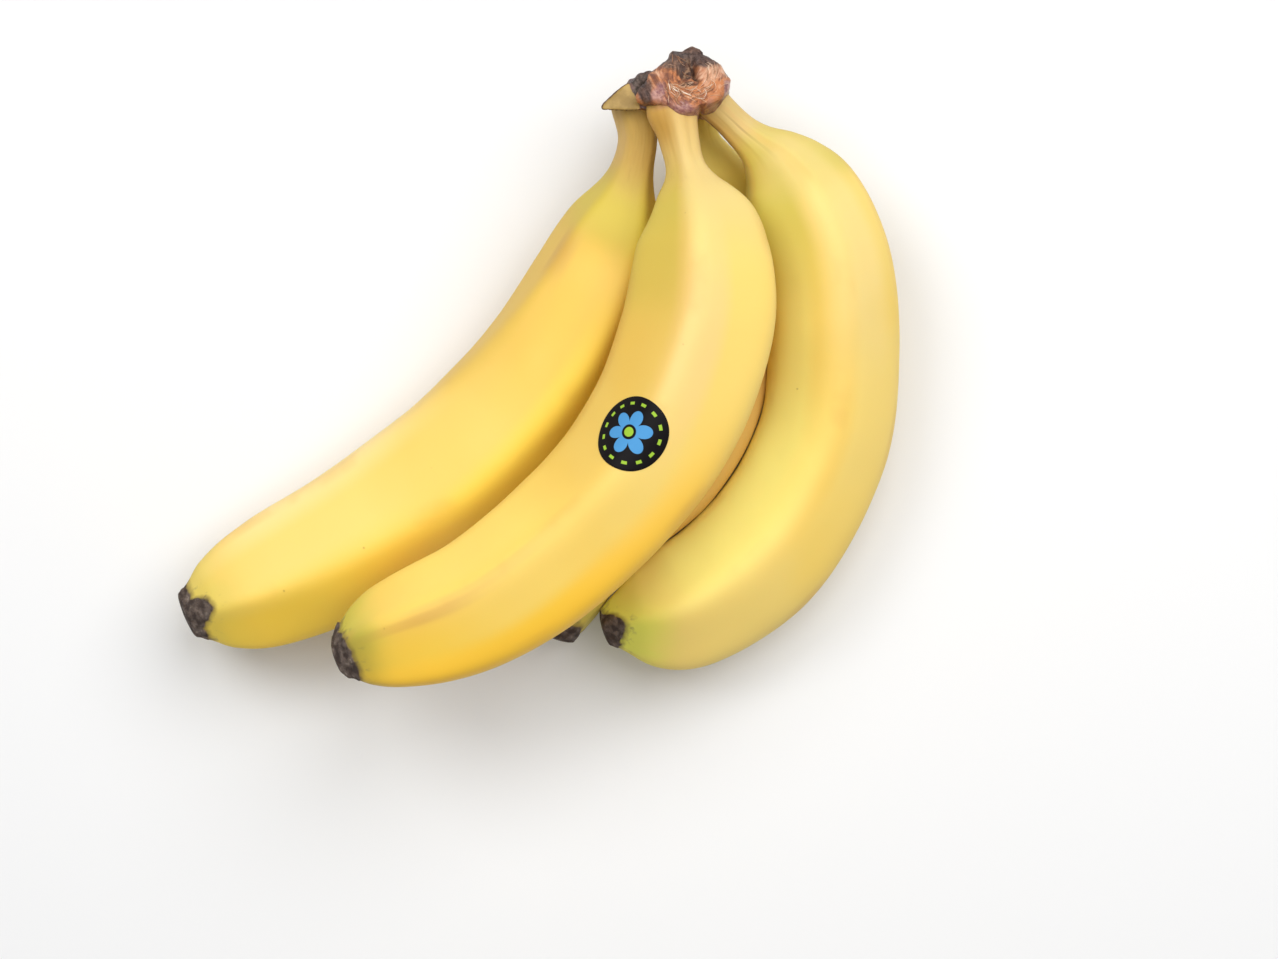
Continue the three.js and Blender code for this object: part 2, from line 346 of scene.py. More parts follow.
class Girth:
    """A banana's radius at any distance along it."""

    def __init__(self, girth, length):
        knots = [Vector((distance, radius, 0)) * MM for distance, radius in girth]
        self.line = smooth_line(knots, SPINE_STEPS)
        self.stretch = length / self.line[-1].x
        self.reached = running_lengths(self.line)

    def along_outline(self, reached):
        """(distance, radius) where the outline's own length comes to `reached`."""
        index = min(bisect_right(self.reached, reached), len(self.line) - 1)
        part = (reached - self.reached[index - 1]) / (self.reached[index] - self.reached[index - 1])
        point = self.line[index - 1].lerp(self.line[index], min(part, 1.0))
        return point.x * self.stretch, point.y

    def at(self, distance):
        """The radius there."""
        places = [point.x * self.stretch for point in self.line]
        index = min(max(bisect_right(places, distance), 1), len(places) - 1)
        part = (distance - places[index - 1]) / (places[index] - places[index - 1])
        return self.line[index - 1].lerp(self.line[index], part).y


def blend(low, high, value):
    """0 at `low`, 1 at `high`, and smooth between."""
    part = min(max((value - low) / (high - low), 0.0), 1.0)
    return part * part * (3 - 2 * part)


def layered_noise(place, layers):
    """Noise of several scales, each times its height, added up."""
    return sum(noise.noise(place * scale) * height for scale, height in layers)


# -------- banana meshes

def section(shape, share, angle):
    """How far a soft five-sided section reaches at an angle, and how near a ridge that is, from 0 to 1."""
    ridge = math.radians(shape["ridge"] + shape["twist"] * share)
    sharpness = RIDGE_SHARPNESS
    for (start, end), change in RIDGE_CHANGES:
        sharpness += change * blend(start, end, share)
    sharpness *= shape["crispness"]
    total = 0.0
    nearest = 0.0
    for index, flat in enumerate(shape["flats"]):
        facet = ridge + (index + 0.5) * FIFTH_TURN
        total += (max(0.0, math.cos(angle - facet)) / flat) ** sharpness
        nearest = max(nearest, math.cos(angle - ridge - index * FIFTH_TURN))
    facet_middle = math.cos(FIFTH_TURN / 2)
    closeness = (nearest - facet_middle) / (1 - facet_middle)
    return total ** (-1 / sharpness), closeness


def turned_from(angle, aim):
    """The degrees between an angle in radians and an aim in degrees."""
    return math.degrees(math.acos(math.cos(angle - math.radians(aim))))


def past_rim(shape, distance, length, angle, closeness):
    """How far past the edge of the dark blossom end a place is. The edge reaches further on one side."""
    turned = Vector((math.cos(angle) * RIM_CIRCLE, math.sin(angle) * RIM_CIRCLE, shape["seed"]))
    base, aim, lobe, spread = shape["cap"]
    away = turned_from(angle, aim) / spread
    depth = base + lobe * math.exp(-away * away) + RIM_ON_RIDGES_MM * closeness
    depth += layered_noise(turned, RIM_WAVES)
    return distance - length + depth * MM


def swell(shape, distance, angle):
    """How far the banana's own bumps and hollows lift its skin."""
    lift = 0.0
    for place, aim, (length, spread), height in shape["swells"]:
        away = turned_from(angle, aim) / spread
        lift += height * MM * math.exp(-((distance / MM - place) / length) ** 2 - away * away)
    return lift


def skin_relief(shape, distance, past, angle, radius):
    """How far the skin stands proud of its plain section: dents, a streaked stalk and a lumpy tip."""
    seed = shape["seed"]
    cosine, sine = math.cos(angle), math.sin(angle)
    place = Vector((cosine * radius, sine * radius, distance)) + Vector((seed, 0, 0))
    turned = Vector((cosine * STREAK_CIRCLE, sine * STREAK_CIRCLE, distance * STREAK_PACE + seed))
    stalk = 1 - blend(*STALK_ENDS_MM, distance / MM)
    cap = blend(*CAP_STARTS_MM, past / MM)
    dents = layered_noise(place, DENTS) * (1 - stalk) * (1 - cap)
    streaks = layered_noise(turned, STALK_STREAKS) * stalk
    lumps = (CAP_RISE_MM + layered_noise(place, CAP_LUMPS)) * cap
    return (dents + streaks + lumps) * MM + swell(shape, distance, angle)


def skin_point(shape, spine, distance, angle, radius):
    """The place on the skin, how near it is to a ridge, and how far past the dark end's edge."""
    share = min(max(distance / spine.length, 0.0), 1.0)
    reach, closeness = section(shape, share, angle)
    past = past_rim(shape, distance, spine.length, angle, closeness)
    relief = skin_relief(shape, distance, past, angle, radius)
    out = radius * reach + relief * min(1.0, radius / (SLENDER_MM * MM))
    centre, _, inner, up = spine.at(distance)
    point = centre + inner * (math.cos(angle) * out) + up * (math.sin(angle) * out)
    point.z = max(point.z, 0.0)
    return point, closeness, past


def banana_outline(shape, spine):
    """(distance, radius) from the stalk's end to the blossom end, closed on the centreline at both."""
    girth = Girth(shape["girth"], spine.length)
    whole = girth.reached[-1]
    body = round((whole / MM - TIP_ZONE_MM) / BODY_STEP_MM)
    tip = round(TIP_ZONE_MM / TIP_STEP_MM)
    places = [(whole - TIP_ZONE_MM * MM) * ring / body for ring in range(body)]
    places += [whole - TIP_ZONE_MM * MM * (1 - ring / tip) for ring in range(tip + 1)]
    rings = [girth.along_outline(place) for place in places]
    tip_radius = rings[-1][1]
    cap = []
    for step in range(1, CAP_RINGS):
        turn = math.pi / 2 * step / CAP_RINGS
        cap.append((spine.length + CAP_BULGE_MM * MM * math.sin(turn), tip_radius * math.cos(turn)))
    return [(0.0, 0.0), *rings, *cap, (spine.length + CAP_BULGE_MM * MM, 0.0)]


def spun(body, outline, sides):
    """Spins (height, radius) pairs about the Z axis into one closed skin."""
    profile = [body.verts.new((radius, 0, height)) for height, radius in outline]
    edges = [body.edges.new(pair) for pair in zip(profile, profile[1:])]
    bmesh.ops.spin(
        body, geom=profile + edges, cent=(0, 0, 0), axis=(0, 0, 1), dvec=(0, 0, 0),
        angle=2 * math.pi, steps=sides, use_merge=True, use_duplicate=False,
    )
    bmesh.ops.remove_doubles(body, verts=body.verts, dist=MERGE_DISTANCE)


def make_banana(name):
    """One banana's skin, spun straight and then bent along its centreline."""
    shape = BANANAS[name]
    spine = Spine(shape["centreline"])
    body = bmesh.new()
    straight = body.verts.layers.float_vector.new("straight")
    around = body.verts.layers.float_vector.new("around")
    share, ridge, rim = [body.verts.layers.float.new(layer) for layer in ("share", "ridge", "rim")]
    spun(body, banana_outline(shape, spine), SIDES)
    for vertex in body.verts:
        distance = vertex.co.z
        radius = math.hypot(vertex.co.x, vertex.co.y)
        angle = math.atan2(vertex.co.y, vertex.co.x)
        vertex[straight] = vertex.co
        vertex[around] = (math.cos(angle), math.sin(angle), 0)
        vertex[share] = distance / spine.length
        vertex.co, vertex[ridge], past = skin_point(shape, spine, distance, angle, radius)
        vertex[rim] = past / MM
    return finished(body, name + "_skin")


def placed(name, data):
    """A new object, in the scene."""
    thing = bpy.data.objects.new(name, data)
    bpy.context.scene.collection.objects.link(thing)
    return thing


def finished(body, name):
    """The object of a bmesh, smooth and with its faces out."""
    bmesh.ops.recalc_face_normals(body, faces=body.faces)
    if body.calc_volume(signed=True) < 0:
        bmesh.ops.reverse_faces(body, faces=body.faces)
    mesh = bpy.data.meshes.new(name)
    body.to_mesh(mesh)
    body.free()
    mesh.shade_smooth()
    return placed(name, mesh)


# -------- crown meshes

def block_reach(block, direction):
    """How far a rounded block reaches from its centre in a direction, in millimetres."""
    total = 0.0
    for normal, distance in block["faces"]:
        total += max(0.0, direction.dot(Vector(normal).normalized()) / distance) ** block["sharpness"]
    return total ** (-1 / block["sharpness"])


def rounded_block(body, block, fineness):
    """Makes a ball and pushes its skin out to the block's faces."""
    bmesh.ops.create_icosphere(body, subdivisions=fineness, radius=1)
    centre = Vector(block["centre"])
    for vertex in body.verts:
        direction = vertex.co.normalized()
        vertex.co = (centre + direction * block_reach(block, direction)) * MM
    bmesh.ops.recalc_face_normals(body, faces=body.faces)
    body.normal_update()


def nearness(point, place, spread, turn):
    """1 at a place, falling away over the spread in each direction."""
    across, upward = point.x / MM - place[0], point.y / MM - place[1]
    cosine, sine = math.cos(math.radians(turn)), math.sin(math.radians(turn))
    u = (across * cosine + upward * sine) / spread[0]
    v = (upward * cosine - across * sine) / spread[1]
    return math.exp(-(u * u + v * v))


def crown_grain(point):
    """Coordinates that run round the crown's hollow, so that noise on them makes curved fibres."""
    across, upward = point.x / MM - GRAIN_CENTRE_MM[0], point.y / MM - GRAIN_CENTRE_MM[1]
    scale, wander = GRAIN_WANDER
    reach = math.hypot(across, upward) + noise.noise(point * scale) * wander
    turn = math.atan2(upward, across)
    deeper = point.z / MM * GRAIN_DEPTH
    return Vector((reach, math.cos(turn) * GRAIN_CIRCLE, math.sin(turn) * GRAIN_CIRCLE + deeper))


def zone_share(name, point):
    """How much of a zone's look a place on the crown has, from 0 to 1."""
    scale, height = ZONE_RAGGED
    sideways = noise.noise(point * scale)
    upward = noise.noise(point * scale + ELSEWHERE)
    ragged = point + Vector((sideways, upward, 0)) * height * MM
    total = 0.0
    for place, spread, turn, strength in CROWN_ZONES[name]:
        total = max(total, strength * nearness(ragged, place, spread, turn))
    return blend(*ZONE_EDGE, total)


def crown_lift(point, normal):
    """How far the torn crown stands proud of its plain block, in millimetres, and its grain there."""
    facing = blend(*SHREDS_SLOPES, normal.z)
    front = blend(*BUMPS_SLOPES, normal.z)
    run = crown_grain(point)
    shreds = sum((0.5 - abs(noise.noise(run * scale))) * height for scale, height in CROWN_SHREDS)
    calm = max(zone_share("lip", point), zone_share("smooth", point))
    lift = layered_noise(point, CROWN_LUMPS) * (1 - CALM_LUMPS * calm)
    lift += shreds * facing * (1 - CALM_SHREDS * calm)
    for place, spread, turn, height in CROWN_FEATURES:
        lift += height * nearness(point, place, spread, turn) * front
    return lift - CROWN_SETBACK_MM, run


def lip_drop(point):
    """How far the lip hangs down at a place, in millimetres: only the crown's front lower edge does."""
    across = (point.x / MM - LIP_MIDDLE_MM) / LIP_SPREAD_MM
    edge = blend(*LIP_STARTS_UP_MM, point.y / MM) * blend(*LIP_STARTS_DEEP_MM, point.z / MM)
    return LIP_DROP_MM * math.exp(-across ** 4) * edge


def make_crown():
    """The crown's torn block, still a bmesh, because the fibres are laid on it."""
    body = bmesh.new()
    layers = {name: body.verts.layers.float.new(name) for name in (*CROWN_ZONES, "rind")}
    grain = body.verts.layers.float_vector.new("grain")
    rounded_block(body, CROWN_BLOCK, CROWN_FINENESS)
    for vertex in body.verts:
        point = vertex.co.copy()
        normal = vertex.normal.copy()
        lift, run = crown_lift(point, normal)
        vertex.co = point + normal * lift * MM + Vector((0, -lip_drop(point) * MM, 0))
        for name in CROWN_ZONES:
            vertex[layers[name]] = zone_share(name, point)
        vertex[layers["rind"]] = 1 - blend(*RIND_SLOPES, normal.z)
        vertex[grain] = run
    body.normal_update()
    return body


def make_flap():
    """The pointed flap, with a thin rim round it and a dark end where it joins the crown."""
    body = bmesh.new()
    rim = body.verts.layers.float.new("rim")
    char = body.verts.layers.float.new("char")
    rounded_block(body, CROWN_FLAP, FLAP_FINENESS)
    for vertex in body.verts:
        point = vertex.co.copy()
        normal = vertex.normal.copy()
        edge = blend(*FLAP_RIM_SLOPES, normal.z)
        join = point.x / MM - FLAP_JOIN_MM - (FLAP_BASE_MM - point.y / MM) * FLAP_JOIN_SLANT
        dark = blend(*FLAP_JOIN_WIDTH_MM, join + layered_noise(point, [FLAP_JOIN_RAGGED]))
        wave = layered_noise(point, [(scale, height + more * dark) for scale, height, more in FLAP_WAVES])
        rise = FLAP_RIM_RISE_MM * edge * blend(0.0, 0.5, normal.z)
        vertex.co = point + normal * (wave + rise) * MM
        vertex[rim] = edge
        vertex[char] = dark
    return finished(body, "crown_flap_skin")


def fibre_path(chance, surface, turns, reaches, headings):
    """A strand's points. It lies on the crown, follows its grain, and ends where that gets too steep."""
    turn = math.radians(chance.uniform(*turns))
    reach = chance.gauss(*reaches)
    across = GRAIN_CENTRE_MM[0] + math.cos(turn) * reach
    upward = GRAIN_CENTRE_MM[1] + math.sin(turn) * reach
    heading = turn + math.radians(chance.gauss(*headings))
    bend = chance.gauss(*FIBRE_BEND)
    step = chance.uniform(*FIBRE_STEP_MM)
    rise = chance.uniform(*FIBRE_RISE_MM)
    points = []
    for index in range(FIBRE_STEPS + 1):
        place, normal, _, _ = surface.ray_cast(
            Vector((across * MM, upward * MM, ABOVE_THE_CROWN)), Vector((0, 0, -1)),
        )
        if place is None or normal.z < FIBRE_STEEPEST:
            break
        arch = math.sin(math.pi * index / FIBRE_STEPS)
        points.append(place + Vector((0, 0, (FIBRE_CLEARANCE_MM + rise * arch) * MM)))
        across += math.cos(heading) * step
        upward += math.sin(heading) * step
        heading += bend * step
    return points


def add_fibre(body, points, radius, shade, shade_layer):
    """One tapering strand, from a sheet rolled round the path."""
    steps = len(points) - 1
    sheet = bmesh.ops.create_grid(body, x_segments=steps, y_segments=FIBRE_SIDES, size=0.5)["verts"]
    for vertex in sheet:
        index = round((vertex.co.x + 0.5) * steps)
        angle = (vertex.co.y + 0.5) * 2 * math.pi
        along = (points[min(index + 1, steps)] - points[max(index - 1, 0)]).normalized()
        side = along.cross(Vector((0, 0, 1))).normalized()
        part = FIBRE_TAPER + (1 - 2 * FIBRE_TAPER) * index / steps
        taper = math.sin(math.pi * part) ** 0.5 if 0 < index < steps else 0.0
        around = side * math.cos(angle) + side.cross(along) * math.sin(angle)
        vertex.co = points[index] + around * radius * taper
        vertex[shade_layer] = shade


def make_fibres(surface):
    """Every strand on the crown, as one piece."""
    chance = random.Random(FIBRE_SEED)
    body = bmesh.new()
    shade_layer = body.verts.layers.float.new("shade")
    for count, turns, reaches, headings, radii, palest in FIBRE_BANDS:
        made = 0
        while made < count:
            points = fibre_path(chance, surface, turns, reaches, headings)
            radius = chance.uniform(*radii) * MM
            shade = chance.random() * palest
            if len(points) >= FIBRE_LEAST_POINTS:
                add_fibre(body, points, radius, shade, shade_layer)
                made += 1
    bmesh.ops.remove_doubles(body, verts=body.verts, dist=MERGE_DISTANCE)
    return finished(body, "crown_fibres_strands")


# -------- label mesh

def make_label():
    """The round label, spun flat and then laid on the middle banana's skin."""
    shape = BANANAS[LABEL_ON]
    spine = Spine(shape["centreline"])
    girth = Girth(shape["girth"], spine.length)
    mean_radius = girth.at(LABEL_DISTANCE_MM * MM) * LABEL_MEAN_REACH
    outline = []
    for (radius, height), (next_radius, next_height) in zip(LABEL_PROFILE_MM, LABEL_PROFILE_MM[1:]):
        for step in range(LABEL_RINGS_BETWEEN):
            part = step / LABEL_RINGS_BETWEEN
            outline.append((
                height + (next_height - height) * part,
                radius + (next_radius - radius) * part,
            ))
    outline.append((LABEL_PROFILE_MM[-1][1], LABEL_PROFILE_MM[-1][0]))
    body = bmesh.new()
    disc = body.verts.layers.float_vector.new("disc")
    spun(body, outline, LABEL_SIDES)
    for vertex in body.verts:
        across, upward, height = vertex.co
        vertex[disc] = (across / LABEL_RADIUS_MM, upward / LABEL_RADIUS_MM, height)
        distance = (LABEL_DISTANCE_MM + across) * MM
        angle = math.radians(LABEL_ANGLE) - upward * MM / mean_radius
        radius = girth.at(distance)
        point = skin_point(shape, spine, distance, angle, radius)[0]
        centre = spine.at(distance)[0]
        vertex.co = point + (point - centre).normalized() * height * MM
    return finished(body, "label_disc")


# -------- shader maths

class Socket:
    """A node's output. Arithmetic on it adds Math nodes."""

    def __init__(self, finish, socket):
        self.finish = finish
        self.socket = socket

    def __add__(self, other):
        return self.finish.math("ADD", self, other)

    def __sub__(self, other):
        return self.finish.math("SUBTRACT", self, other)

    def __rsub__(self, other):
        return self.finish.math("SUBTRACT", other, self)

    def __mul__(self, other):
        return self.finish.math("MULTIPLY", self, other)

    def __pow__(self, other):
        return self.finish.math("POWER", self, other)

    __radd__ = __add__
    __rmul__ = __mul__


# Outputs of an Attribute node, and of a Texture Coordinate node.
VECTOR = 1
NUMBER = 2
OBJECT = 3


class Finish:
    """A material, made node by node."""

    def __init__(self, name):
        self.material = bpy.data.materials.new(name)
        self.material.use_nodes = True
        self.tree = self.material.node_tree
        self.tree.nodes.clear()

    def node(self, kind, settings=None, inputs=None, output=0):
        """Adds a node, sets it up, fills its sockets with values or links, and returns one output."""
        node = self.tree.nodes.new("ShaderNode" + kind)
        for key, value in (settings or {}).items():
            setattr(node, key, value)
        for key, value in (inputs or {}).items():
            if isinstance(value, Socket):
                self.tree.links.new(value.socket, node.inputs[key])
            else:
                node.inputs[key].default_value = value
        return Socket(self, node.outputs[output] if node.outputs else None)

    def math(self, operation, *values):
        return self.node("Math", {"operation": operation}, dict(enumerate(values)))

    def attribute(self, name, output):
        return self.node("Attribute", {"attribute_name": name}, output=output)

    def between(self, value, low, high, lowest=0.0, highest=1.0):
        """Runs smoothly from `lowest` where the value is `low` to `highest` where it is `high`."""
        settings = {"interpolation_type": "SMOOTHSTEP"}
        return self.node("MapRange", settings, {0: value, 1: low, 2: high, 3: lowest, 4: highest})

    def stretched(self, vector, scales, shift=(0, 0, 0)):
        """The vector times three scales, plus a shift."""
        settings = {"operation": "MULTIPLY_ADD"}
        return self.node("VectorMath", settings, {0: vector, 1: scales, 2: shift})

    def toward(self, vector, direction):
        """The vector's part in a direction."""
        return self.node("VectorMath", {"operation": "DOT_PRODUCT"}, {0: vector, 1: direction}, output=1)

    def noise(self, vector, scale, detail=3.0, roughness=0.5):
        inputs = {"Vector": vector, "Scale": scale, "Detail": detail, "Roughness": roughness}
        return self.node("TexNoise", None, inputs)

    def mix(self, first, second, amount):
        """A colour from the first to the second. A Mix node's colours go in at 6 and 7 and come out at 2."""
        settings = {"data_type": "RGBA", "clamp_factor": True}
        return self.node("Mix", settings, {0: amount, 6: first, 7: second}, output=2)

    def wash(self, first, second, value, low, high):
        """A colour that is the first where the value is `low` and the second where it is `high`."""
        return self.mix(first, second, self.between(value, low, high))

    def tinted(self, color, tint, value, edges, amount):
        """The colour, with that much of a tint where the value is past the edges."""
        return self.mix(color, tint, self.between(value, *edges) * amount)

    def bump(self, height, distance, strength):
        return self.node("Bump", None, {"Strength": strength, "Distance": distance, "Height": height})

    def surface(self, inputs):
        """Ends the material in one Principled BSDF."""
        shader = self.node("BsdfPrincipled", None, inputs)
        self.node("OutputMaterial", None, {"Surface": shader})
        return self.material


def srgb(code):
    """A linear colour from a web colour code."""
    channels = [((code >> shift) & 255) / 255 for shift in (16, 8, 0)]
    return (*[((c + 0.055) / 1.055) ** 2.4 if c > 0.04045 else c / 12.92 for c in channels], 1.0)


# -------- finishes

RIPE = srgb(0xEDC357)
LEMON = srgb(0xF1D274)
GOLD = srgb(0xEFC441)
# Painted light: a bright yellow that lightens the left banana's side toward the middle banana, where that
# banana's shade falls.
PAINTED_LIGHT_YELLOW = srgb(0xFADB54)
BUTTER = srgb(0xFAD86E)
PRIMROSE = srgb(0xF7E37C)
CREAM = srgb(0xF8DE9A)
BLUSH = srgb(0xEFCC86)
GILT = srgb(0xF8CF40)
MARIGOLD = srgb(0xFFC636)
PALE_LIME = srgb(0xDCC45E)
# Painted shade: a tan for the back banana, where it lies in shade between the middle and right bananas.
PAINTED_SHADE_TAN = srgb(0xD6A860)
SHADED = srgb(0xDDB552)
# Painted light: a pale lemon that lightens the right banana's inner side, where the middle banana's shade
# falls.
PAINTED_LIGHT_LEMON = srgb(0xFFF48C)
# Painted shade: a dull gold for the left banana's inner side, which faces away from the light.
PAINTED_SHADE_GOLD = srgb(0xDFB955)
OLIVE = srgb(0xC8BA49)
MOSS = srgb(0xA8943A)
LIME = srgb(0xC6B850)
LEAF = srgb(0xDCE654)
WILLOW = srgb(0xC4AC42)
CITRON = srgb(0xCFC150)
FERN = srgb(0xB9BC49)
STALK_PALE = srgb(0xE2C882)
TAN = srgb(0xD0AC68)
AMBER = srgb(0xC9973A)
HONEY = srgb(0xBA8B38)
BARK = srgb(0xBE9A50)
ROSY_BROWN = srgb(0xA5715A)
BRUISE = srgb(0xC08A4C)
BROWN = srgb(0x7A4A22)
RIDGE_BROWN = srgb(0xCF9646)
CAP_DARK = srgb(0x3E322C)
CAP_MIDDLE = srgb(0x63564E)
CAP_PALE = srgb(0x8C7E72)
CAP_BROWN = srgb(0x6E5A34)

# Each banana's colours: its peel, stalk, neck and tip, and soft patches. A patch has a colour, how much of
# it, the shares of the length between which it lies, and its aim: the angle that it is centred on, how far
# it spreads either way, and the width of its soft edge.
PEELS = {
    "banana_left": {
        "peel": RIPE, "stalk": BARK, "neck": WILLOW, "tip": CITRON,
        "patches": [
            # The dull gold on the inner side, from 0.14 to 0.55 of the length, is painted shade.
            (PAINTED_SHADE_GOLD, 0.7, (0.14, 0.55), (15, 48, 45)), (LEMON, 0.4, (0.42, 0.62), (80, 33, 32)),
            (LEMON, 0.9, (0.64, 0.95), (70, 38, 36)), (CREAM, 0.8, (0.55, 0.92), (12, 32, 31)),
            # The bright yellow at 138 degrees is painted light on the side toward the middle banana.
            (PAINTED_LIGHT_YELLOW, 0.8, (0.30, 0.66), (138, 27, 25)), (GILT, 0.85, (0.68, 0.97), (155, 48, 45)),
            # The bright yellow at 160 degrees, by the neck, is painted light on the side toward the middle
            # banana.
            (PAINTED_LIGHT_YELLOW, 0.5, (0.12, 0.22), (160, 38, 36)), (TAN, 0.9, (0.0, 0.10), (10, 43, 40)),
            (OLIVE, 0.5, (0.10, 0.18), (60, 80, 50)), (BRUISE, 0.35, (0.20, 0.26), (48, 13, 13)),
        ],
    },
    "banana_middle": {
        "peel": RIPE, "stalk": TAN, "neck": OLIVE, "tip": FERN,
        "patches": [
            (LEMON, 0.8, (0.14, 0.60), (135, 71, 68)), (BUTTER, 0.8, (0.60, 0.92), (25, 40, 38)),
            (GOLD, 0.9, (0.64, 0.97), (140, 48, 45)), (OLIVE, 0.9, (0.11, 0.29), (20, 48, 24)),
            (STALK_PALE, 0.8, (0.06, 0.20), (118, 40, 38)), (BLUSH, 0.7, (0.20, 0.46), (90, 19, 18)),
            (MOSS, 0.8, (0.95, 1.05), (115, 48, 45)), (HONEY, 0.8, (0.0, 0.055), (25, 48, 45)),
            (ROSY_BROWN, 0.8, (0.0, 0.012), (120, 66, 63)), (BRUISE, 0.25, (0.66, 0.80), (74, 4, 5)),
            (BRUISE, 0.34, (0.77, 0.93), (79, 4, 5)), (BRUISE, 0.2, (0.80, 0.88), (77, 8, 7)),
            (LEMON, 0.6, (0.60, 0.82), (95, 22, 20)), (SHADED, 0.5, (0.12, 0.60), (26, 50, 12)),
            (MARIGOLD, 0.7, (0.46, 0.96), (160, 34, 30)),
        ],
    },
    "banana_right": {
        "peel": LEMON, "stalk": TAN, "neck": LIME, "tip": LEAF,
        "patches": [
            # The gold on the inner side, at 0 degrees from 0.22 to 0.46 of the length, is painted shade from
            # the middle banana.
            (PRIMROSE, 0.9, (0.30, 0.92), (50, 33, 32)), (GOLD, 0.8, (0.22, 0.46), (0, 34, 32)),
            # The pale lemon on the inner side, from 0.52 to 0.92 of the length, is painted light.
            (RIPE, 0.5, (0.20, 0.70), (88, 19, 18)), (PAINTED_LIGHT_LEMON, 0.9, (0.52, 0.92), (20, 57, 54)),
            (LIME, 0.8, (0.09, 0.30), (48, 34, 32)), (STALK_PALE, 0.6, (0.02, 0.16), (110, 57, 54)),
            (AMBER, 0.35, (0.02, 0.14), (30, 32, 31)), (ROSY_BROWN, 0.6, (0.0, 0.01), (90, 171, 162)),
            (BROWN, 0.3, (0.055, 0.125), (91, 3, 4)), (OLIVE, 0.45, (0.09, 0.13), (100, 90, 30)),
            (CREAM, 0.4, (0.15, 0.42), (115, 30, 26)), (BROWN, 0.6, (0.01, 0.08), (16, 8, 7)),
        ],
    },
    "banana_back": {
        "peel": RIPE, "stalk": PALE_LIME, "neck": PALE_LIME, "tip": LIME,
        "patches": [
            # The tan on the back banana's side is painted shade.
            (PALE_LIME, 0.8, (0.0, 0.5), (90, 114, 108)), (PAINTED_SHADE_TAN, 0.7, (0.42, 0.78), (112, 48, 36)),
        ],
    },
}


# A patch fades in and out over this share of the length, or over less where it is short.
PATCH_FADE = 0.10
SHORT_PATCH_FADE = 0.4


def patch(finish, share, around, stretch, aim):
    """A soft patch of peel, over a stretch of the length and a spread of angles."""
    start, end = stretch
    angle, spread, softness = aim
    direction = (math.cos(math.radians(angle)), math.sin(math.radians(angle)), 0)
    facing = finish.toward(around, direction)
    outer = math.cos(math.radians(min(spread + softness / 2, 180)))
    inner = math.cos(math.radians(max(spread - softness / 2, 0)))
    fade = min(PATCH_FADE, SHORT_PATCH_FADE * (end - start))
    begun = finish.between(share, start - fade, start + fade)
    lengthwise = begun * finish.between(share, end + fade, end - fade)
    return finish.between(facing, outer, inner) * lengthwise


# Where the neck's and the stalk's colours come and go, as shares of the length, and the tip's colour comes,
# from the dark end's edge.
NECK_FROM = (0.09, 0.14)
NECK_TO = (0.24, 0.17)
STALK_TO = (0.15, 0.10)
TIP_FROM_MM = (-16.0, -2.0)
SHARE_WANDER = 0.05
TIP_WANDER_MM = 120
# Along the peel the grain is this much slower than round it.
GRAIN_SLOWNESS = 0.08
# A noise has a scale, a detail and a roughness, which is usually a half.
BROAD_NOISE = (22, 2)
WANDER_NOISE = (50, 3)
STREAK_NOISE = (900, 3, 0.6)
RUB_NOISE = (38, 3)
RAGGED_NOISE = (500, 3)
SMEAR_NOISE = (600, 2)
MOTTLE_NOISE = (520, 3, 0.55)
SPECK_NOISE = (1700, 2)
PORE_NOISE = (2600, 2)
# Where each tint sets in, and how much of it there is at most.
LEMON_DRIFT = ((0.52, 0.75), 0.6)
GOLD_DRIFT = ((0.48, 0.25), 0.4)
CAP_EDGING = ((-1.8, 0.1), 0.7)
CAP_PALING = ((0.56, 0.68), 0.7)
NECK_TINT = 0.75
TIP_TINT = 0.75
STALK_TINT = 0.9
STREAK_TINT = 0.16
RUB_TINT = 0.25
FRECKLE_TINT = 0.4
SMEAR_TINT = 0.5
# How fine the freckles' cells are, a freckle's edge, and which cells have one.
FRECKLE_CELLS = 150.0
FRECKLE_EDGE = (0.07, 0.02)
FRECKLE_CHANCE = (0.86, 0.88)
PEEL_ROUGHNESS = 0.55
CAP_ROUGHNESS = 0.85
PEEL_GLOSS = 0.3
PEEL_BUMP = 0.35
PEEL_BUMP_MM = 0.3
PEEL_GLOW = 0.08
PEEL_GLOW_DEPTHS = (0.004, 0.002, 0.0006)


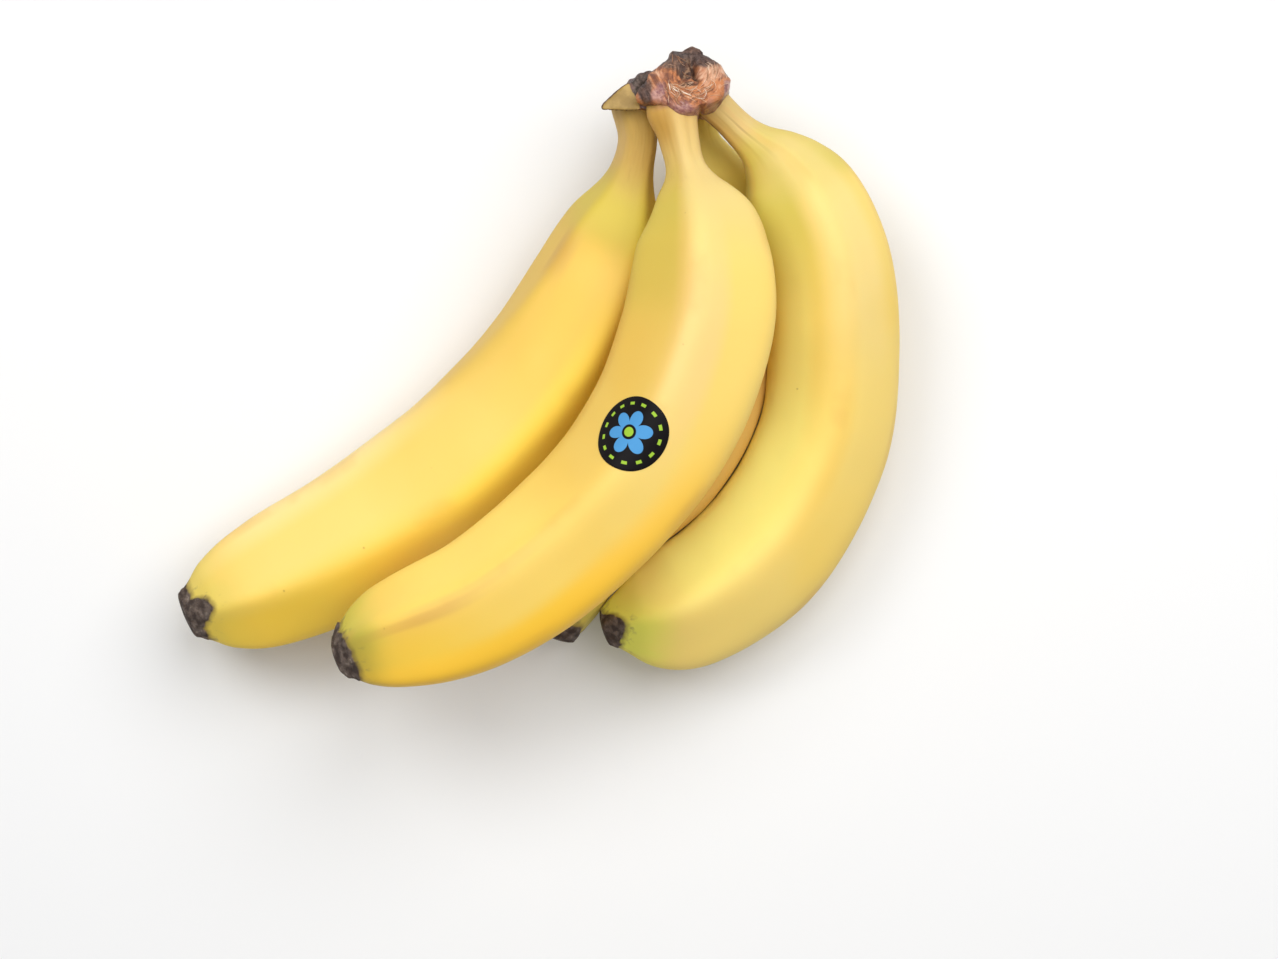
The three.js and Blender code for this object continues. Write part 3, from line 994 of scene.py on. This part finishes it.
def peel_finish(name):
    """A ripe peel: soft patches, a streaky stalk, worn ridges, freckles and a dark blossom end."""
    peel = PEELS[name]
    shift = BANANAS[name]["seed"]
    finish = Finish(name + "_peel")
    straight, around = [finish.attribute(layer, VECTOR) for layer in ("straight", "around")]
    share, ridge, rim = [finish.attribute(layer, NUMBER) for layer in ("share", "ridge", "rim")]
    seed = (shift * 0.37, shift * 0.61, shift * 0.13)
    place = finish.stretched(straight, (1, 1, 1), seed)
    grain = finish.stretched(straight, (1, 1, GRAIN_SLOWNESS), seed)

    # The ripe colour drifts between lemon and gold, and turns at the neck and the tip.
    broad = finish.noise(place, *BROAD_NOISE)
    wander = (finish.noise(place, *WANDER_NOISE) - 0.5) * SHARE_WANDER
    unsure = share + wander
    color = finish.tinted(peel["peel"], LEMON, broad, *LEMON_DRIFT)
    color = finish.tinted(color, GOLD, broad, *GOLD_DRIFT)
    neck = finish.between(unsure, *NECK_TO) * finish.between(unsure, *NECK_FROM)
    color = finish.mix(color, peel["neck"], neck * NECK_TINT)
    tip = finish.between(rim + wander * TIP_WANDER_MM, *TIP_FROM_MM)
    color = finish.mix(color, peel["tip"], tip * TIP_TINT)

    # The stalk is streaked along its length, and the soft patches lie over all that.
    streaks = finish.noise(grain, *STREAK_NOISE)
    stalk = finish.between(unsure, *STALK_TO)
    color = finish.mix(color, peel["stalk"], stalk * STALK_TINT)
    color = finish.mix(color, BROWN, stalk * finish.between(streaks, 0.5, 0.8) * STREAK_TINT)
    # Some patches are painted shade and some painted light, as marked in the peels' table.
    for tint, amount, stretch, aim in peel["patches"]:
        color = finish.mix(color, tint, patch(finish, unsure, around, stretch, aim) * amount)

    # The ridges are rubbed brown here and there.
    rubbed = finish.between(finish.noise(place, *RUB_NOISE), 0.50, 0.66)
    color = finish.mix(color, RIDGE_BROWN, finish.between(ridge, 0.90, 1.0) * rubbed * RUB_TINT)

    # A few cells of a fine pattern hold a freckle.
    spots = {"Vector": place, "Scale": FRECKLE_CELLS}
    freckle = finish.between(finish.node("TexVoronoi", None, spots), *FRECKLE_EDGE)
    chosen = finish.node("SeparateColor", None, {0: finish.node("TexVoronoi", None, spots, output=1)})
    freckle = freckle * finish.between(chosen, *FRECKLE_CHANCE)
    color = finish.mix(color, BROWN, freckle * FRECKLE_TINT)

    # The blossom end: smears before it, a brown edge, and a dark mottled cap.
    ragged = rim + (finish.noise(place, *RAGGED_NOISE) - 0.5) * 1.6
    smears = finish.between(finish.noise(grain, *SMEAR_NOISE), 0.55, 0.7)
    color = finish.mix(color, CAP_MIDDLE, smears * finish.between(ragged, -4.5, -0.5) * SMEAR_TINT)
    color = finish.tinted(color, CAP_BROWN, ragged, *CAP_EDGING)
    cap = finish.between(ragged, -0.35, 0.35)
    mottle = finish.noise(place, *MOTTLE_NOISE)
    specks = finish.noise(place, *SPECK_NOISE)
    cap_color = finish.wash(CAP_DARK, CAP_MIDDLE, mottle, 0.38, 0.62)
    cap_color = finish.tinted(cap_color, CAP_PALE, specks * 0.4 + mottle * 0.6, *CAP_PALING)
    color = finish.mix(color, cap_color, cap)

    # Fine pores all over, with the streaks, the cap and the freckles standing out.
    pores = finish.noise(place, *PORE_NOISE)
    height = pores * 0.12 + streaks * stalk * 0.2 + mottle * cap * 3.0 + freckle * 0.3
    return finish.surface({
        "Base Color": color,
        "Roughness": finish.between(cap, 0.0, 1.0, PEEL_ROUGHNESS, CAP_ROUGHNESS) + (broad - 0.5) * 0.1,
        "Specular IOR Level": PEEL_GLOSS,
        "Normal": finish.bump(height, PEEL_BUMP_MM * MM, PEEL_BUMP),
        "Subsurface Weight": PEEL_GLOW,
        "Subsurface Radius": PEEL_GLOW_DEPTHS,
        "Subsurface Scale": 1.0,
    })


CUT_DARK = srgb(0x744430)
CUT_ORANGE = srgb(0xC47C4C)
CUT_PALE = srgb(0xDFB492)
LIP_DARK = srgb(0x7D4A4E)
CHAR_DARK = srgb(0x291D1B)
CHAR_PALE = srgb(0x5E4C46)
# Painted shade for the crown's crease lines.
CREASE = srgb(0x8A5442)
FLAP_DARK = srgb(0x987A3C)
FLAP_PALE = srgb(0xB59552)
RIM_BROWN = srgb(0x4E3226)
# What lies over the crown's flesh: a zone, two colours, the edges between which its pattern turns from one
# to the other, and how much of it there is at most.
CROWN_LOOKS = [
    ("smooth", srgb(0xC07E5A), srgb(0xE3B696), (0.36, 0.64), 0.9),
    ("grey", srgb(0x4A3A32), srgb(0x8A7262), (0.42, 0.62), 0.8),
    # The hollow's dark browns are painted shade.
    ("hollow", srgb(0x3A2A22), srgb(0x8A7058), (0.46, 0.66), 0.85),
    ("rind", CHAR_PALE, srgb(0x9A7A4E), (0.42, 0.62), 1.0),
    ("lip", LIP_DARK, srgb(0xB98A7E), (0.34, 0.66), 0.9),
    ("char", CHAR_DARK, CHAR_PALE, (0.38, 0.64), 0.9),
]
CREASE_TINT = 0.85
FLESH_EDGES = (0.42, 0.55)
FLESH_PALING = ((0.52, 0.68), 0.7)
FLAP_EDGES = (0.35, 0.65)
FLAP_CHAR_EDGES = (0.38, 0.64)
FLAP_CHAR_REDDENING = ((0.48, 0.7), 0.5)
FLAP_BROWNING = ((0.3, 0.7), 0.9)
FLAP_CHARRING = ((0.25, 0.7), 0.95)
WET_ROUGHNESS = 0.30
DRY_ROUGHNESS = 0.62
FLAP_ROUGHNESS = 0.55
CROWN_BUMP = 0.8
CROWN_BUMP_MM = 0.5
FLAP_BUMP = 0.5
FLAP_BUMP_MM = 0.4


def crown_finish():
    """Torn, drying stem: stringy orange flesh, each zone's colours laid over it; painted shade in hollow and
    crease.
    """
    finish = Finish("crown_cut")
    place = finish.node("TexCoord", output=OBJECT)
    grain = finish.attribute("grain", VECTOR)
    masks = {name: finish.attribute(name, NUMBER) for name in (*CROWN_ZONES, "rind")}
    fibres = finish.noise(finish.stretched(grain, (0.7, 0.7, 0.7)), 1.7, 5, 0.6)
    fine = finish.noise(place, 1400, 4, 0.6)
    patchy = finish.noise(place, 260, 3, 0.6)

    color = finish.wash(CUT_DARK, CUT_ORANGE, fibres * 0.6 + patchy * 0.4, *FLESH_EDGES)
    threads = fine * 0.5 + fibres * 0.5
    color = finish.tinted(color, CUT_PALE, threads, *FLESH_PALING)
    patterns = {
        "smooth": fibres + (patchy - 0.5) * 0.6,
        "grey": threads,
        "hollow": fibres,
        "rind": patchy,
        "lip": patchy + (fine - 0.5) * 0.6,
        "char": fine * 0.6 + fibres * 0.4,
    }
    for zone, dark, pale, edges, amount in CROWN_LOOKS:
        color = finish.mix(color, finish.wash(dark, pale, patterns[zone], *edges), masks[zone] * amount)
    # Painted shade darkens the crease lines.
    color = finish.mix(color, CREASE, masks["crease"] * CREASE_TINT)
    height = fibres * 1.2 + fine * 0.6
    return finish.surface({
        "Base Color": color,
        "Roughness": finish.between(masks["lip"], 0.0, 1.0, DRY_ROUGHNESS, WET_ROUGHNESS),
        "Normal": finish.bump(height, CROWN_BUMP_MM * MM, CROWN_BUMP),
    })


def flap_finish():
    """Dull peel with a brown rim, black where it joins the crown."""
    finish = Finish("crown_flap_peel")
    place = finish.node("TexCoord", output=OBJECT)
    rim = finish.attribute("rim", NUMBER)
    char = finish.attribute("char", NUMBER)
    patchy = finish.noise(place, 240, 3, 0.6)
    fine = finish.noise(place, 1500, 3, 0.6)
    color = finish.wash(FLAP_DARK, FLAP_PALE, patchy, *FLAP_EDGES)
    color = finish.tinted(color, RIM_BROWN, rim + (fine - 0.5) * 0.4, *FLAP_BROWNING)
    dark = finish.wash(CHAR_DARK, CHAR_PALE, fine, *FLAP_CHAR_EDGES)
    dark = finish.tinted(dark, LIP_DARK, patchy, *FLAP_CHAR_REDDENING)
    color = finish.tinted(color, dark, char + (fine - 0.5) * 0.5, *FLAP_CHARRING)
    return finish.surface({
        "Base Color": color,
        "Roughness": FLAP_ROUGHNESS,
        "Normal": finish.bump(patchy + fine * 0.4, FLAP_BUMP_MM * MM, FLAP_BUMP),
    })


FIBRE_BROWN = srgb(0xA87450)
FIBRE_TAN = srgb(0xDDB797)
FIBRE_PALE = srgb(0xF5E6D6)
FIBRE_TAN_SHADES = (0.1, 0.5)
FIBRE_PALE_SHADES = (0.55, 0.95)
FIBRE_ROUGHNESS = 0.5


def fibre_finish():
    """Each strand has one shade, from brown to nearly white."""
    finish = Finish("crown_fibre")
    shade = finish.attribute("shade", NUMBER)
    color = finish.wash(FIBRE_BROWN, FIBRE_TAN, shade, *FIBRE_TAN_SHADES)
    color = finish.wash(color, FIBRE_PALE, shade, *FIBRE_PALE_SHADES)
    return finish.surface({"Base Color": color, "Roughness": FIBRE_ROUGHNESS})


LABEL_ROUGHNESS = 0.55
LABEL_GLOSS = 0.15
LABEL_BLACK = srgb(0x0D090B)
LABEL_BLUE = srgb(0x4E96CE)
LABEL_GREEN = srgb(0x9CC23A)

# The label's flower, its heart and its ring of dashes. Lengths are shares of the label's radius, and the
# pairs are edges, from none to full.
PETALS = 6
PETAL_ROUNDNESS = 0.7
PETAL_MIDDLE = 0.28
PETAL_LENGTH = 0.34
PETAL_EDGE = (0.0, 0.02)
PETALS_START = (0.19, 0.21)
HEART_EDGE = (0.14, 0.12)
DASHES = 14
DASH_RING = 0.80
DASH_EDGE = (0.050, 0.030)
DASH_ENDS = (0.25, 0.45)


def label_finish():
    """A six-petalled flower in a ring of dashes, printed on black."""
    finish = Finish("label_print")
    disc = finish.attribute("disc", VECTOR)
    parts = {axis: finish.node("SeparateXYZ", None, {0: disc}, output=axis) for axis in (0, 1)}
    flat = finish.stretched(disc, (1, 1, 0))
    reach = finish.node("VectorMath", {"operation": "LENGTH"}, {0: flat}, output=1)
    turn = finish.math("ARCTAN2", parts[1], parts[0])
    petals = finish.math("ABSOLUTE", finish.math("COSINE", turn * (PETALS / 2)))
    outline = petals ** PETAL_ROUNDNESS * PETAL_LENGTH + PETAL_MIDDLE
    flower = finish.between(outline - reach, *PETAL_EDGE) * finish.between(reach, *PETALS_START)
    heart = finish.between(reach, *HEART_EDGE)
    ring = finish.between(finish.math("ABSOLUTE", reach - DASH_RING), *DASH_EDGE)
    dashes = ring * finish.between(finish.math("COSINE", turn * DASHES), *DASH_ENDS)
    color = finish.mix(LABEL_BLACK, LABEL_BLUE, flower)
    color = finish.mix(color, LABEL_GREEN, heart)
    color = finish.mix(color, LABEL_GREEN, dashes)
    return finish.surface({
        "Base Color": color,
        "Roughness": LABEL_ROUGHNESS,
        "Specular IOR Level": LABEL_GLOSS,
    })


# -------- stage

CAMERA_PLACE = (0.0263, -0.0294, 0.820)
LENS_MM = 85
SENSOR_MM = 36
FLOOR_SIZE = 6.0
FLOOR_WHITE = (0.82, 0.82, 0.82, 1)
FLOOR_ROUGHNESS = 0.7
DAYLIGHT = (1, 1, 1, 1)
DAYLIGHT_STRENGTH = 0.25
# Round lights that all aim at one place: each one's name, place, size, and power in watts.
LIGHTS_AIM = (0.02, 0, 0.03)
LIGHTS = [
    ("softbox", (0.45, 0.45, 1.0), 1.1, 10.4),
    ("overhead", (-0.10, -0.10, 1.25), 0.9, 3.4),
    ("fill", (-0.50, 0.45, 1.0), 0.6, 5.0),
]


def add_camera():
    camera = placed("camera", bpy.data.cameras.new("camera"))
    camera.data.lens = LENS_MM
    camera.data.sensor_width = SENSOR_MM
    camera.location = CAMERA_PLACE
    bpy.context.scene.camera = camera


def add_light(name, place, size, power):
    light = placed(name, bpy.data.lights.new(name, "AREA"))
    light.data.shape = "DISK"
    light.data.size = size
    light.data.energy = power
    light.location = place
    direction = Vector(LIGHTS_AIM) - Vector(place)
    light.rotation_euler = direction.to_track_quat("-Z", "Y").to_euler()


def add_floor():
    body = bmesh.new()
    bmesh.ops.create_grid(body, x_segments=1, y_segments=1, size=FLOOR_SIZE / 2)
    floor = finished(body, "floor")
    paint = Finish("floor_white").surface({"Base Color": FLOOR_WHITE, "Roughness": FLOOR_ROUGHNESS})
    floor.data.materials.append(paint)


def add_daylight():
    world = bpy.data.worlds.new("studio")
    world.use_nodes = True
    background = world.node_tree.nodes["Background"]
    background.inputs["Color"].default_value = DAYLIGHT
    background.inputs["Strength"].default_value = DAYLIGHT_STRENGTH
    bpy.context.scene.world = world
    bpy.context.scene.view_settings.view_transform = "Standard"


def add_stage():
    add_camera()
    add_floor()
    add_daylight()
    for light in LIGHTS:
        add_light(*light)


# -------- the bunch

def add_piece(piece, node, material):
    """Gives a piece its material, hangs it on the root body, and hides the frame's part of its node."""
    piece.data.materials.append(material)
    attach(piece, "root")
    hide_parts(node)


def add_crown():
    """The crown's three pieces. The fibres are laid first, because finishing the block frees its bmesh."""
    body = make_crown()
    surface = BVHTree.FromBMesh(body)
    add_piece(make_fibres(surface), "crown", fibre_finish())
    add_piece(finished(body, "crown_block_skin"), "crown", crown_finish())
    add_piece(make_flap(), "crown", flap_finish())


add_stage()
for name in BANANAS:
    add_piece(make_banana(name), name, peel_finish(name))
add_crown()
add_piece(make_label(), "sticker", label_finish())
